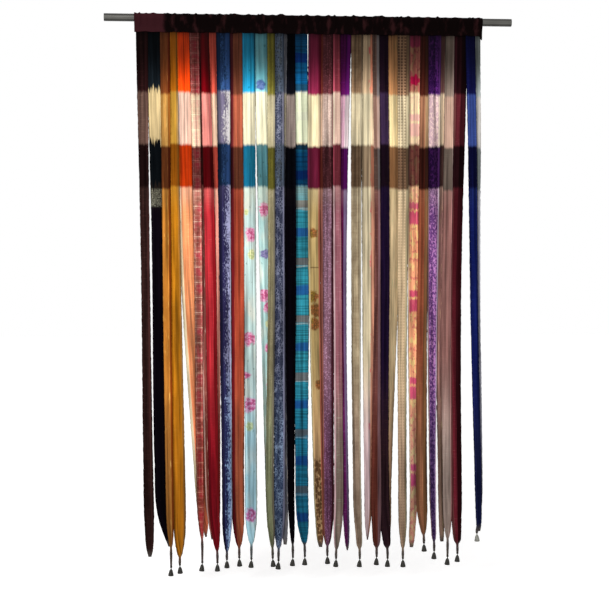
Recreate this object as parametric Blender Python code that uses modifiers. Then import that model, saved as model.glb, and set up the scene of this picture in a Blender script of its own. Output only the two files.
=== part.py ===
"""Doorway curtain of hanging cloth ribbons with small bells, on a steel rod.

The rod's axis is the X axis and its middle is the origin. +Z is up and -Y is the front.
The cloth header is a pocket round the rod. Its two leaves meet in a hem below, and the ribbons' top
ends are tucked between them. The ribbons hang in three layers, and many carry a bell on a twisted tail.
"""

import math
from collections import namedtuple

import bmesh
import bpy

MM = 0.001

# Main sizes: across all ribbons at the header, and from the rod's axis down to the lowest bell's mouth
CURTAIN_WIDTH = 1262 * MM
CURTAIN_DROP = 2045 * MM

# Clearance between cloth that touches cloth, metal or metal's neighbour
GAP = 0.3 * MM

# Rod
ROD_RADIUS = 14 * MM
ROD_REACH = 108 * MM
ROD_SIDES = 24

# Header: the pocket, the hem and the gathers round the rod
HEADER_THICKNESS = 1.2 * MM
HEADER_DROP = 51 * MM
HEM_HEIGHT = 20 * MM
HEADER_MARGIN = 6 * MM
GATHER_SPACING = 64 * MM
GATHER_DEPTH = 1.6 * MM
POCKET_ARC = math.radians(240)
POCKET_STEPS = 8

# Ribbons
RIBBON_THICKNESS = 1.0 * MM
RIBBON_TUCK = 16 * MM
LAYER_SPACING = 6 * MM
LAYER_SPREAD = 300 * MM
SWELL_DEPTH = 6 * MM
SWELL_HEIGHT = 1250 * MM
SWELL_BREADTH = 1700 * MM
WAIST_DROP = 0.425 * CURTAIN_DROP
KNEE_DROP = 0.86 * CURTAIN_DROP
POINT_LENGTH = 150 * MM
POINT_WIDTH = 5.0 * MM
POINT_CURVE = 2
BLUNT_CURVE = 7
BLUNT_TAPER = 0.4
BLUNT_WIDTH = 12 * MM
HIDDEN_REACHES = (5 * MM, 4 * MM, 1 * MM)
BODY_ROWS = 11
POINT_ROWS = 5

# Bells: the turned shell, and the clapper on its wire
BELL_HEIGHT = 30 * MM
BELL_MOUTH_RADIUS = 10.2 * MM
BELL_LIP = 2.4 * MM
BELL_WALL = 1.0 * MM
BELL_NECK_RADIUS = 2.2 * MM
BELL_NECK_HEIGHT = 6 * MM
BELL_SHOULDER_RADIUS = 5.8 * MM
BELL_SHOULDER_DROP = 10 * MM
BELL_WAIST_RADIUS = 7.6 * MM
BELL_WAIST_DROP = 19 * MM
CLAPPER_RADIUS = 2.0 * MM
CLAPPER_LENGTH = 4.5 * MM
CLAPPER_RISE = 5.0 * MM
CLAPPER_WIRE_RADIUS = 0.8 * MM
BELL_SIDES = 8

# One ribbon a line, left to right, in millimetres of a curtain of the main sizes above.
# layer: 0 in front, 1 in the middle, 2 at the back
# step: from the centre of the ribbon before to its own, at the header
# width, waist, knee: how much of it shows below the header, half way down and where its point begins
# sways: how far its centre has moved sideways at the waist, at the knee and at the tip
# drop: from the rod's axis down to its lowest point, or to its bell's mouth
# tail: the twisted end that carries a bell, or none
Ribbon = namedtuple("Ribbon", "name layer step width waist knee sways drop tail colour")
NO_BELL = None
RIBBONS = (
    Ribbon("maroon_brown", 0, 0, 43, 33, 37, (9, 18, 21), 1973, NO_BELL, (0.045, 0.015, 0.014)),
    Ribbon("black_silk", 1, 43, 43, 35, 41, (11, 21, 48), 1937, NO_BELL, (0.008, 0.008, 0.012)),
    Ribbon("mustard_left", 0, 40, 36, 31, 28, (4, 12, 16), 2045, 55, (0.42, 0.17, 0.015)),
    Ribbon("mustard_right", 1, 31, 26, 35, 45, (6, 17, 17), 2038, 12, (0.38, 0.15, 0.012)),
    Ribbon("orange", 2, 32, 45, 47, 43, (16, 68, 82), 1905, NO_BELL, (0.80, 0.20, 0.06)),
    Ribbon("rose_ladder", 0, 43, 37, 31, 26, (12, 18, 25), 2029, 70, (0.34, 0.07, 0.055)),
    Ribbon("brown_gilt", 1, 24, 22, 22, 22, (9, 26, 37), 1913, NO_BELL, (0.20, 0.08, 0.05)),
    Ribbon("crimson", 0, 13, 32, 40, 37, (20, 32, 44), 2030, 26, (0.36, 0.012, 0.018)),
    Ribbon("salmon", 1, 27, 29, 26, 26, (11, 14, 12), 1932, NO_BELL, (0.75, 0.22, 0.14)),
    Ribbon("indigo", 0, 40, 51, 44, 37, (6, 13, 12), 2018, 12, (0.055, 0.06, 0.16)),
    Ribbon("terracotta", 1, 47, 44, 48, 44, (5, 6, 11), 2014, 22, (0.34, 0.07, 0.03)),
    Ribbon("aqua_rose", 0, 46, 47, 44, 45, (5, 9, 10), 2018, 38, (0.30, 0.55, 0.60)),
    Ribbon("mint_rose", 1, 46, 44, 33, 26, (13, 32, 38), 1917, NO_BELL, (0.32, 0.50, 0.46)),
    Ribbon("olive", 0, 36, 29, 26, 30, (2, -3, 7), 2015, 20, (0.16, 0.14, 0.07)),
    Ribbon("slate", 1, 31, 33, 35, 41, (2, 2, -2), 2026, 27, (0.08, 0.09, 0.14)),
    Ribbon("grey_plum", 2, 18, 26, 24, 22, (-4, 4, 5), 1936, NO_BELL, (0.14, 0.11, 0.15)),
    Ribbon("black_satin", 0, 24, 29, 41, 24, (-1, 3, 9), 2013, 30, (0.006, 0.006, 0.008)),
    Ribbon("turquoise", 1, 31, 48, 48, 45, (9, 12, 23), 2012, 27, (0.035, 0.22, 0.32)),
    Ribbon("tan_paisley", 0, 55, 48, 44, 34, (0, 19, 26), 1944, NO_BELL, (0.42, 0.27, 0.12)),
    Ribbon("mauve", 1, 48, 48, 44, 43, (0, 6, 4), 2008, 18, (0.15, 0.07, 0.15)),
    Ribbon("rose_taupe", 0, 33, 26, 30, 34, (4, 13, 3), 2018, 15, (0.26, 0.12, 0.11)),
    Ribbon("magenta", 1, 29, 40, 28, 23, (-8, 10, 17), 1959, NO_BELL, (0.10, 0.012, 0.09)),
    Ribbon("khaki", 0, 46, 44, 37, 30, (-1, 7, 17), 2020, 18, (0.26, 0.23, 0.14)),
    Ribbon("peach", 1, 40, 35, 41, 28, (6, 9, 6), 1920, NO_BELL, (0.62, 0.42, 0.30)),
    Ribbon("umber", 0, 29, 26, 22, 39, (9, 9, 11), 2013, 16, (0.10, 0.03, 0.02)),
    Ribbon("navy_indigo", 1, 30, 33, 34, 41, (8, 8, 23), 2022, 22, (0.022, 0.014, 0.05)),
    Ribbon("gold_beige", 2, 32, 35, 34, 26, (9, -9, -3), 1923, NO_BELL, (0.50, 0.38, 0.19)),
    Ribbon("tan_dash", 0, 40, 44, 37, 32, (1, 5, 8), 2023, 20, (0.42, 0.32, 0.19)),
    Ribbon("coral_ikat", 1, 43, 41, 37, 26, (-1, 5, -2), 1951, NO_BELL, (0.60, 0.18, 0.12)),
    Ribbon("rust", 0, 35, 30, 37, 42, (-2, 0, 9), 1965, 12, (0.24, 0.08, 0.035)),
    Ribbon("violet", 1, 39, 48, 38, 23, (0, 4, 10), 1996, 18, (0.13, 0.06, 0.26)),
    Ribbon("gold_brown", 2, 32, 22, 19, 21, (-8, 4, 8), 1932, NO_BELL, (0.26, 0.15, 0.08)),
    Ribbon("mauve_taupe", 0, 24, 34, 37, 34, (-7, 1, 4), 2018, 48, (0.24, 0.13, 0.11)),
    Ribbon("wine", 1, 39, 45, 40, 42, (-12, -4, 4), 2009, 20, (0.10, 0.012, 0.022)),
    Ribbon("royal_navy", 0, 37, 37, 30, 27, (18, 43, 46), 1893, NO_BELL, (0.008, 0.012, 0.08)),
    Ribbon("silver", 1, 28, 19, 15, 19, (9, 22, 12), 1932, 8, (0.28, 0.29, 0.30)),
)
PALE_BELLS = ("silver",)
BLUNT_POINTS = ("violet", "wine", "khaki", "navy_indigo", "umber", "magenta")
BLUNT_ENDS = ("gold_brown", "tan_paisley", "grey_plum", "royal_navy", "coral_ikat", "maroon_brown")

# The table's own width and drop, which the main sizes above stand for
TABLE_WIDTH = sum(ribbon.step for ribbon in RIBBONS) + (RIBBONS[0].width + RIBBONS[-1].width) / 2
TABLE_DROP = max(ribbon.drop for ribbon in RIBBONS)

HEADER_COLOUR = (0.010, 0.007, 0.008)
STEEL_COLOUR = (0.36, 0.36, 0.37)
BELL_COLOUR = (0.035, 0.034, 0.032)
PALE_BELL_COLOUR = (0.32, 0.32, 0.30)

# Layers lie flat on each other inside the hem, with the clearance between them
HEM_LAYER_SPACING = RIBBON_THICKNESS + GAP
HEM_HALF_GAP = HEM_LAYER_SPACING + RIBBON_THICKNESS / 2 + GAP
BACK_LAYER = 1


def across(size):
    """A length across the curtain, from the table's millimetres."""
    return size * CURTAIN_WIDTH / TABLE_WIDTH


def down(size):
    """A length down the curtain, from the table's millimetres."""
    return size * CURTAIN_DROP / TABLE_DROP


def ribbon_centres():
    """The ribbons' centres at the header, with the whole row centred on the rod."""
    x = across(RIBBONS[0].width) / 2 - CURTAIN_WIDTH / 2
    centres = []
    for ribbon in RIBBONS:
        x += across(ribbon.step)
        centres.append(x)
    return centres


def header_half_width():
    """Half the header's width: to the outer edge of the last ribbon, and a margin."""
    return CURTAIN_WIDTH / 2 + HEADER_MARGIN


def ease(t):
    """Smooth step from 0 to 1."""
    t = min(max(t, 0.0), 1.0)
    return t * t * (3 - 2 * t)


def smooth_through(points, at):
    """The value at a place on a smooth curve through (place, value) points in rising order."""
    slopes = []
    last = len(points) - 1
    for i in range(len(points)):
        before, after = points[max(i - 1, 0)], points[min(i + 1, last)]
        slopes.append((after[1] - before[1]) / (after[0] - before[0]))
    i = 0
    while i < last - 1 and at > points[i + 1][0]:
        i += 1
    (x0, y0), (x1, y1) = points[i], points[i + 1]
    span = x1 - x0
    t = min(max((at - x0) / span, 0.0), 1.0)
    start = (1 + 2 * t) * (1 - t) ** 2 * y0 + t * (1 - t) ** 2 * span * slopes[i]
    end = t * t * (3 - 2 * t) * y1 + t * t * (t - 1) * span * slopes[i + 1]
    return start + end


def bell_top_drop(ribbon):
    """How far the bell's neck lies below the rod's axis."""
    return down(ribbon.drop) - BELL_HEIGHT


def ribbon_end_drop(ribbon):
    """How far the cloth reaches: to its point, or to just above its bell."""
    if ribbon.tail is NO_BELL:
        return down(ribbon.drop)
    return bell_top_drop(ribbon) - GAP


def ribbon_tip_drop(ribbon):
    """Where the ribbon's point has closed to its smallest width."""
    if ribbon.tail is NO_BELL:
        return ribbon_end_drop(ribbon)
    return ribbon_end_drop(ribbon) - down(ribbon.tail)


def ribbon_sway(ribbon, drop):
    """How far the ribbon's centre has moved sideways at a drop."""
    waist, knee, tip = (across(sway) for sway in ribbon.sways)
    stations = ((HEADER_DROP, 0.0), (WAIST_DROP, waist), (KNEE_DROP, knee), (ribbon_tip_drop(ribbon), tip))
    return smooth_through(stations, drop)


def hidden_reach(index, side, drop):
    """How far a ribbon reaches on behind the neighbour at its left (-1) or right (1), if that is in front."""
    beside = index + side
    if beside not in range(len(RIBBONS)) or RIBBONS[beside].layer >= RIBBONS[index].layer:
        return 0.0
    top, waist, knee = HIDDEN_REACHES
    return smooth_through(((HEADER_DROP, top), (WAIST_DROP, waist), (KNEE_DROP, knee)), drop)


def ribbon_end_width(ribbon):
    """How wide the ribbon still is where its point or its rounded end has closed."""
    return BLUNT_WIDTH if ribbon.name in BLUNT_ENDS else POINT_WIDTH


def ribbon_point_share(ribbon, drop):
    """How far the ribbon's point has closed at a drop, from 0 to 1. Blunt ones narrow evenly and close late."""
    t = min(max((drop - ribbon_tip_drop(ribbon) + POINT_LENGTH) / POINT_LENGTH, 0.0), 1.0)
    if ribbon.name in BLUNT_POINTS + BLUNT_ENDS:
        return BLUNT_TAPER * t + (1 - BLUNT_TAPER) * t ** BLUNT_CURVE
    return t ** POINT_CURVE


def ribbon_edge(ribbon, index, side, drop):
    """How far the ribbon's left (-1) or right (1) edge lies from its centre line at a drop."""
    stations = ((HEADER_DROP, ribbon.width), (WAIST_DROP, ribbon.waist), (KNEE_DROP, ribbon.knee))
    open_reach = across(smooth_through(stations, drop)) / 2 + hidden_reach(index, side, drop)
    closed_reach = ribbon_end_width(ribbon) / 2
    return side * (open_reach + (closed_reach - open_reach) * ribbon_point_share(ribbon, drop))


def ribbon_depth(ribbon, index, x, drop, side):
    """The ribbon's Y at a place: its layer, the swell that all share, and a flutter and twist of its own.

    The flutter and the twist each take a quarter of the free room between two layers.
    """
    loose = ease((drop - HEADER_DROP) / LAYER_SPREAD)
    spacing = HEM_LAYER_SPACING + (LAYER_SPACING - HEM_LAYER_SPACING) * loose
    room = spacing - HEM_LAYER_SPACING
    turn = 2 * math.pi
    swell = SWELL_DEPTH * loose * math.sin(turn * (drop / SWELL_HEIGHT + x / SWELL_BREADTH))
    flutter = room / 4 * math.sin(turn * drop / (0.90 + 0.11 * (index % 5)) + 2.4 * index)
    twist = room / 4 * side * math.sin(turn * drop / (1.30 + 0.17 * (index % 4)) + 1.7 * index)
    return (ribbon.layer - BACK_LAYER) * spacing + swell + flutter + twist


def ribbon_rows(ribbon):
    """The drops of the ribbon's cross rows: evenly down its body, closer along its point, one at its end."""
    top = HEADER_DROP - RIBBON_TUCK
    tip = ribbon_tip_drop(ribbon)
    knee = tip - POINT_LENGTH
    rows = [top, HEADER_DROP]
    rows += [HEADER_DROP + (knee - HEADER_DROP) * i / BODY_ROWS for i in range(1, BODY_ROWS + 1)]
    rows += [knee + POINT_LENGTH * i / POINT_ROWS for i in range(1, POINT_ROWS + 1)]
    if ribbon.tail is not NO_BELL:
        rows.append(ribbon_end_drop(ribbon))
    return rows


def plain_material(name, colour, roughness, metallic):
    material = bpy.data.materials.new(name)
    material.use_nodes = True
    shader = material.node_tree.nodes["Principled BSDF"]
    shader.inputs["Base Color"].default_value = (*colour, 1.0)
    shader.inputs["Roughness"].default_value = roughness
    shader.inputs["Metallic"].default_value = metallic
    material.diffuse_color = (*colour, 1.0)
    return material


def add_object(name, mesh, material, collection):
    """An object of its own for one piece."""
    piece = bpy.data.objects.new(name, mesh)
    piece.data.materials.append(material)
    collection.objects.link(piece)
    return piece


def grid_mesh(name, rows):
    """An open sheet through equal rows of points."""
    shape = bmesh.new()
    lines = [[shape.verts.new(point) for point in row] for row in rows]
    for upper, lower in zip(lines, lines[1:]):
        for a, b, c, d in zip(upper, upper[1:], lower[1:], lower):
            shape.faces.new((a, d, c, b))
    mesh = bpy.data.meshes.new(name)
    shape.to_mesh(mesh)
    shape.free()
    return mesh


def thicken(piece, thickness, offset):
    """Turn an open sheet into a closed cloth: offset 0 is centred, 1 is all on the outer side."""
    shell = piece.modifiers.new("cloth thickness", "SOLIDIFY")
    shell.thickness = thickness
    shell.offset = offset


def make_rod(collection):
    length = 2 * (header_half_width() + ROD_REACH)
    shape = bmesh.new()
    bmesh.ops.create_cone(shape, cap_ends=True, segments=ROD_SIDES, radius1=ROD_RADIUS,
                          radius2=ROD_RADIUS, depth=length)
    mesh = bpy.data.meshes.new("rod")
    shape.to_mesh(mesh)
    shape.free()
    mesh.shade_smooth()
    mesh.set_sharp_from_angle(angle=math.radians(40))
    rod = add_object("rod", mesh, plain_material("brushed steel", STEEL_COLOUR, 0.35, 1.0), collection)
    rod.rotation_euler = (0, math.pi / 2, 0)


def header_profile(gather):
    """Points (y, z) from the front hem up, over the rod and down to the back hem."""
    step = POCKET_ARC / POCKET_STEPS
    radius = (ROD_RADIUS + GAP) / math.cos(step / 2) + gather
    hem_top = -HEADER_DROP + HEM_HEIGHT
    points = [(-HEM_HALF_GAP, -HEADER_DROP), (-HEM_HALF_GAP, hem_top)]
    start = math.pi / 2 + POCKET_ARC / 2
    for i in range(POCKET_STEPS + 1):
        angle = start - step * i
        points.append((radius * math.cos(angle), radius * math.sin(angle)))
    points += [(HEM_HALF_GAP, hem_top), (HEM_HALF_GAP, -HEADER_DROP)]
    return points


def make_header(collection):
    """The rod pocket: a sheet over the rod, gathered outwards, with its two leaves flat in the hem."""
    half = header_half_width()
    gathers = round(2 * half / GATHER_SPACING)
    columns = 2 * gathers
    rows = []
    for i in range(columns + 1):
        x = -half + 2 * half * i / columns
        gather = GATHER_DEPTH * (i % 2)
        rows.append([(x, y, z) for y, z in header_profile(gather)])
    material = plain_material("header cloth", HEADER_COLOUR, 0.8, 0.0)
    header = add_object("header", grid_mesh("header", rows), material, collection)
    thicken(header, HEADER_THICKNESS, 1.0)


def make_ribbon(ribbon, index, centre, collection):
    rows = []
    for drop in ribbon_rows(ribbon):
        middle = centre + ribbon_sway(ribbon, drop)
        row = []
        for side in (-1, 1):
            reach = ribbon_edge(ribbon, index, side, drop)
            turned_side = max(min(reach / (across(ribbon.width) / 2), 1.0), -1.0)
            x = middle + reach
            row.append((x, ribbon_depth(ribbon, index, x, drop, turned_side), -drop))
        rows.append(row)
    material = plain_material(ribbon.name + " cloth", ribbon.colour, 0.65, 0.0)
    piece = add_object("ribbon_" + ribbon.name, grid_mesh(ribbon.name, rows), material, collection)
    thicken(piece, RIBBON_THICKNESS, 0.0)


def bell_profile():
    """Half outline (radius, z) of a bell: down the outside, up the inside and down round the clapper."""
    slope = BELL_WALL * 1.1
    crown_drop = BELL_SHOULDER_DROP + BELL_WALL
    clapper_low = BELL_HEIGHT - CLAPPER_RISE
    clapper_top = clapper_low - CLAPPER_LENGTH
    return (
        (0.0, 0.0),
        (BELL_NECK_RADIUS, 0.0),
        (BELL_NECK_RADIUS, -BELL_NECK_HEIGHT),
        (BELL_SHOULDER_RADIUS, -BELL_SHOULDER_DROP),
        (BELL_WAIST_RADIUS, -BELL_WAIST_DROP),
        (BELL_MOUTH_RADIUS, -BELL_HEIGHT + BELL_LIP),
        (BELL_MOUTH_RADIUS - BELL_LIP / 2, -BELL_HEIGHT),
        (BELL_MOUTH_RADIUS - BELL_LIP / 2 - slope, -BELL_HEIGHT),
        (BELL_WAIST_RADIUS - slope, -BELL_WAIST_DROP),
        (BELL_SHOULDER_RADIUS - slope, -crown_drop),
        (CLAPPER_WIRE_RADIUS, -crown_drop),
        (CLAPPER_WIRE_RADIUS, -clapper_top),
        (CLAPPER_RADIUS, -clapper_top - CLAPPER_LENGTH / 3),
        (CLAPPER_RADIUS, -clapper_low + CLAPPER_LENGTH / 4),
        (0.0, -clapper_low),
    )


def bell_mesh():
    """The bell's half outline, ready to be turned. All bells share it."""
    shape = bmesh.new()
    points = [shape.verts.new((radius, 0, z)) for radius, z in bell_profile()]
    for upper, lower in zip(points, points[1:]):
        shape.edges.new((upper, lower))
    mesh = bpy.data.meshes.new("bell outline")
    shape.to_mesh(mesh)
    shape.free()
    return mesh


def make_bell(ribbon, index, centre, outline, material, collection):
    """A bell under its ribbon's tail, with its neck just below the cloth."""
    drop = bell_top_drop(ribbon)
    end = ribbon_end_drop(ribbon)
    x = centre + ribbon_sway(ribbon, end)
    y = ribbon_depth(ribbon, index, x, end, 0)
    bell = bpy.data.objects.new("bell_" + ribbon.name, outline)
    bell.location = (x, y, -drop)
    collection.objects.link(bell)
    turned = bell.modifiers.new("turned", "SCREW")
    turned.axis = "Z"
    turned.steps = BELL_SIDES
    turned.render_steps = BELL_SIDES
    turned.use_merge_vertices = True
    turned.merge_threshold = 0.0001
    if not outline.materials:
        outline.materials.append(material)
    bell.material_slots[0].link = "OBJECT"
    bell.material_slots[0].material = material


def main():
    for old in list(bpy.data.objects):
        bpy.data.objects.remove(old, do_unlink=True)
    collection = bpy.data.collections.new("ribbon_doorway_curtain")
    bpy.context.scene.collection.children.link(collection)
    make_rod(collection)
    make_header(collection)
    dark = plain_material("dark bell metal", BELL_COLOUR, 0.45, 0.9)
    pale = plain_material("pale bell metal", PALE_BELL_COLOUR, 0.4, 0.9)
    outline = bell_mesh()
    for index, (ribbon, centre) in enumerate(zip(RIBBONS, ribbon_centres())):
        make_ribbon(ribbon, index, centre, collection)
        if ribbon.tail is not NO_BELL:
            metal = pale if ribbon.name in PALE_BELLS else dark
            make_bell(ribbon, index, centre, outline, metal, collection)


main()
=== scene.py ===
"""Looks of the ribbon doorway curtain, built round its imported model.

Every ribbon becomes a fine cloth of its own with folds and raw edges, rolled into a tail where it
carries a bell. The header becomes a gathered rod pocket, and the bells become turned metal, each with a
clapper and a binding.
Cloth coordinates are in metres: across from a ribbon's left edge, and down from the rod's axis.
"""

import math
from collections import namedtuple

import bmesh
import bpy
import numpy as np
from mathutils import Matrix, Vector


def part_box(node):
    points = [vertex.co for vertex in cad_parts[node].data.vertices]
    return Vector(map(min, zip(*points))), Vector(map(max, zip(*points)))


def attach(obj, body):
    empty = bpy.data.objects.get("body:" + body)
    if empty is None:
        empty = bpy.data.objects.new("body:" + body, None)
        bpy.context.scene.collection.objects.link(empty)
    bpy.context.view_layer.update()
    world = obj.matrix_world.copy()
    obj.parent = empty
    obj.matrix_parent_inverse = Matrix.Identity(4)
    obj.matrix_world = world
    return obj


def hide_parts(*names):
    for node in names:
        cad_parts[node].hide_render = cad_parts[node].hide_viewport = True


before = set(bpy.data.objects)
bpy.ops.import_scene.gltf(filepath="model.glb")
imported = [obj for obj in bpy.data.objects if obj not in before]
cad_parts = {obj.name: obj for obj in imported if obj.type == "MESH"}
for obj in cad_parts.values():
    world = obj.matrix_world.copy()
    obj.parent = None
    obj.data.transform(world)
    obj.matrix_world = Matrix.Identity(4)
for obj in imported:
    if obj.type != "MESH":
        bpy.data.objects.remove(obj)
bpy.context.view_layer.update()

MM = 0.001
TURN = 2 * math.pi

# Camera: where it stands and how it looks at the curtain
CAMERA_PLACE = (-0.333, -4.535, -0.798)
CAMERA_YAW = math.radians(3.979)
CAMERA_PITCH = math.radians(-2.836)
CAMERA_ROLL = math.radians(0.111)
CAMERA_LENS = 72.9
CAMERA_SENSOR = 36.0

# Room: the floor under the curtain, and the light
FLOOR_LEVEL = -2.11
FLOOR_SIZE = 12.0
FLOOR_COLOUR = (0.92, 0.92, 0.92, 1)
FLOOR_GLOW = 0.36
WORLD_LIGHT = 0.73
KEY_LIGHT = 100.0
KEY_PLACE = (-2.6, -3.4, 1.3)
KEY_TARGET = (0, 0, -1.0)
KEY_SIZE = 1.6

# Cloth
CLOTH_THICKNESS = 0.4 * MM
CLOTH_COLUMNS = 14
CLOTH_ROW = 8 * MM
FOLD_DEPTH = 2.2 * MM
FOLD_WIDTH = 21 * MM
EDGE_CURL = 1.0 * MM
EDGE_FRAY = 0.35 * MM
CLEARANCE = 0.5 * MM
HEM_DROP = 51 * MM
LOOSE_LENGTH = 120 * MM
# What is left of the folds in the hem, and the lengths over which they wander, waver and curl below it
FOLD_IN_HEM = 0.12
LEAST_FOLD = 0.15 * MM
DRIFT_LENGTHS = (0.5, 0.9)
WAVER_LENGTHS = (0.21, 0.33)
CURL_LENGTH = 0.41
CLOTH_ROUGHNESS = 0.62
LEAST_SHINE = 0.008
CLOTH_SHINE = 0.038
YARN = 0.9 * MM
BUMP_DEPTH = 0.8 * MM
SEED_SHIFT = 0.37

# Rolled tail that carries a bell, from its top radius to its low one
TAIL_TOP_RADIUS = 5.0 * MM
TAIL_RADIUS = 3.3 * MM
TAIL_ROW = 1 * MM
TAIL_TWIST = 15 * MM
TAIL_ROLL_LENGTH = 34 * MM

# Drops at which the painted light on the cloth changes: painted shade, a painted band of backlight, painted
# shade again, and open to the light below
BACKLIT_BAND_TOP = 268 * MM
BACKLIT_BAND_LOW = 457 * MM
SHADED_BAND_LOW = 612 * MM
ZONE_BLUR = 7 * MM
# A painted spill of backlight just below the second shaded band, stronger on bright cloths, and how far down
# it reaches
HAZE = 0.34
HAZE_LENGTH = 100 * MM
# Painted backlight on the cloth in painted shade: how bright it grows from under the hem to the backlit band,
# and how bright it is below that
GLOW_LEAST = 0.55
GLOW_MOST = 1.3
GLOW_OF_SHEER = 6.0
GLOW_END = 360 * MM
GLOW_BELOW = 1.2
# How the open cloth fades: from which drop to which, and from how bright to how bright
FADES = ((0.62, 0.80, 0.95, 1.08), (0.98, 1.12, 1.0, 0.89), (1.30, 1.78, 1.0, 0.61))
# The most by which a print brightens the cloth in painted shade, and by which a foot's colour brightens a
# channel
MOST_PRINT = (2.4, 2.4, 2.4)
MOST_FOOT = 3.2
FOOT_GAIN = 1.9
FOOT_START = 1200 * MM
FOOT_END = 1640 * MM
# The warm white of the painted backlight
WARM_BACKLIGHT = (254, 239, 198)
# What the painted band of backlight turns towards on the cloths where that isn't the warm white
BACKLIGHT_WHITES = {
    "black_silk": (254, 228, 158),
    "orange": (254, 228, 222),
    "gold_beige": (254, 230, 172),
    "magenta": (254, 238, 228),
    "royal_navy": (150, 190, 255),
}
TAIL_COLOUR = (70, 64, 61)
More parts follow.
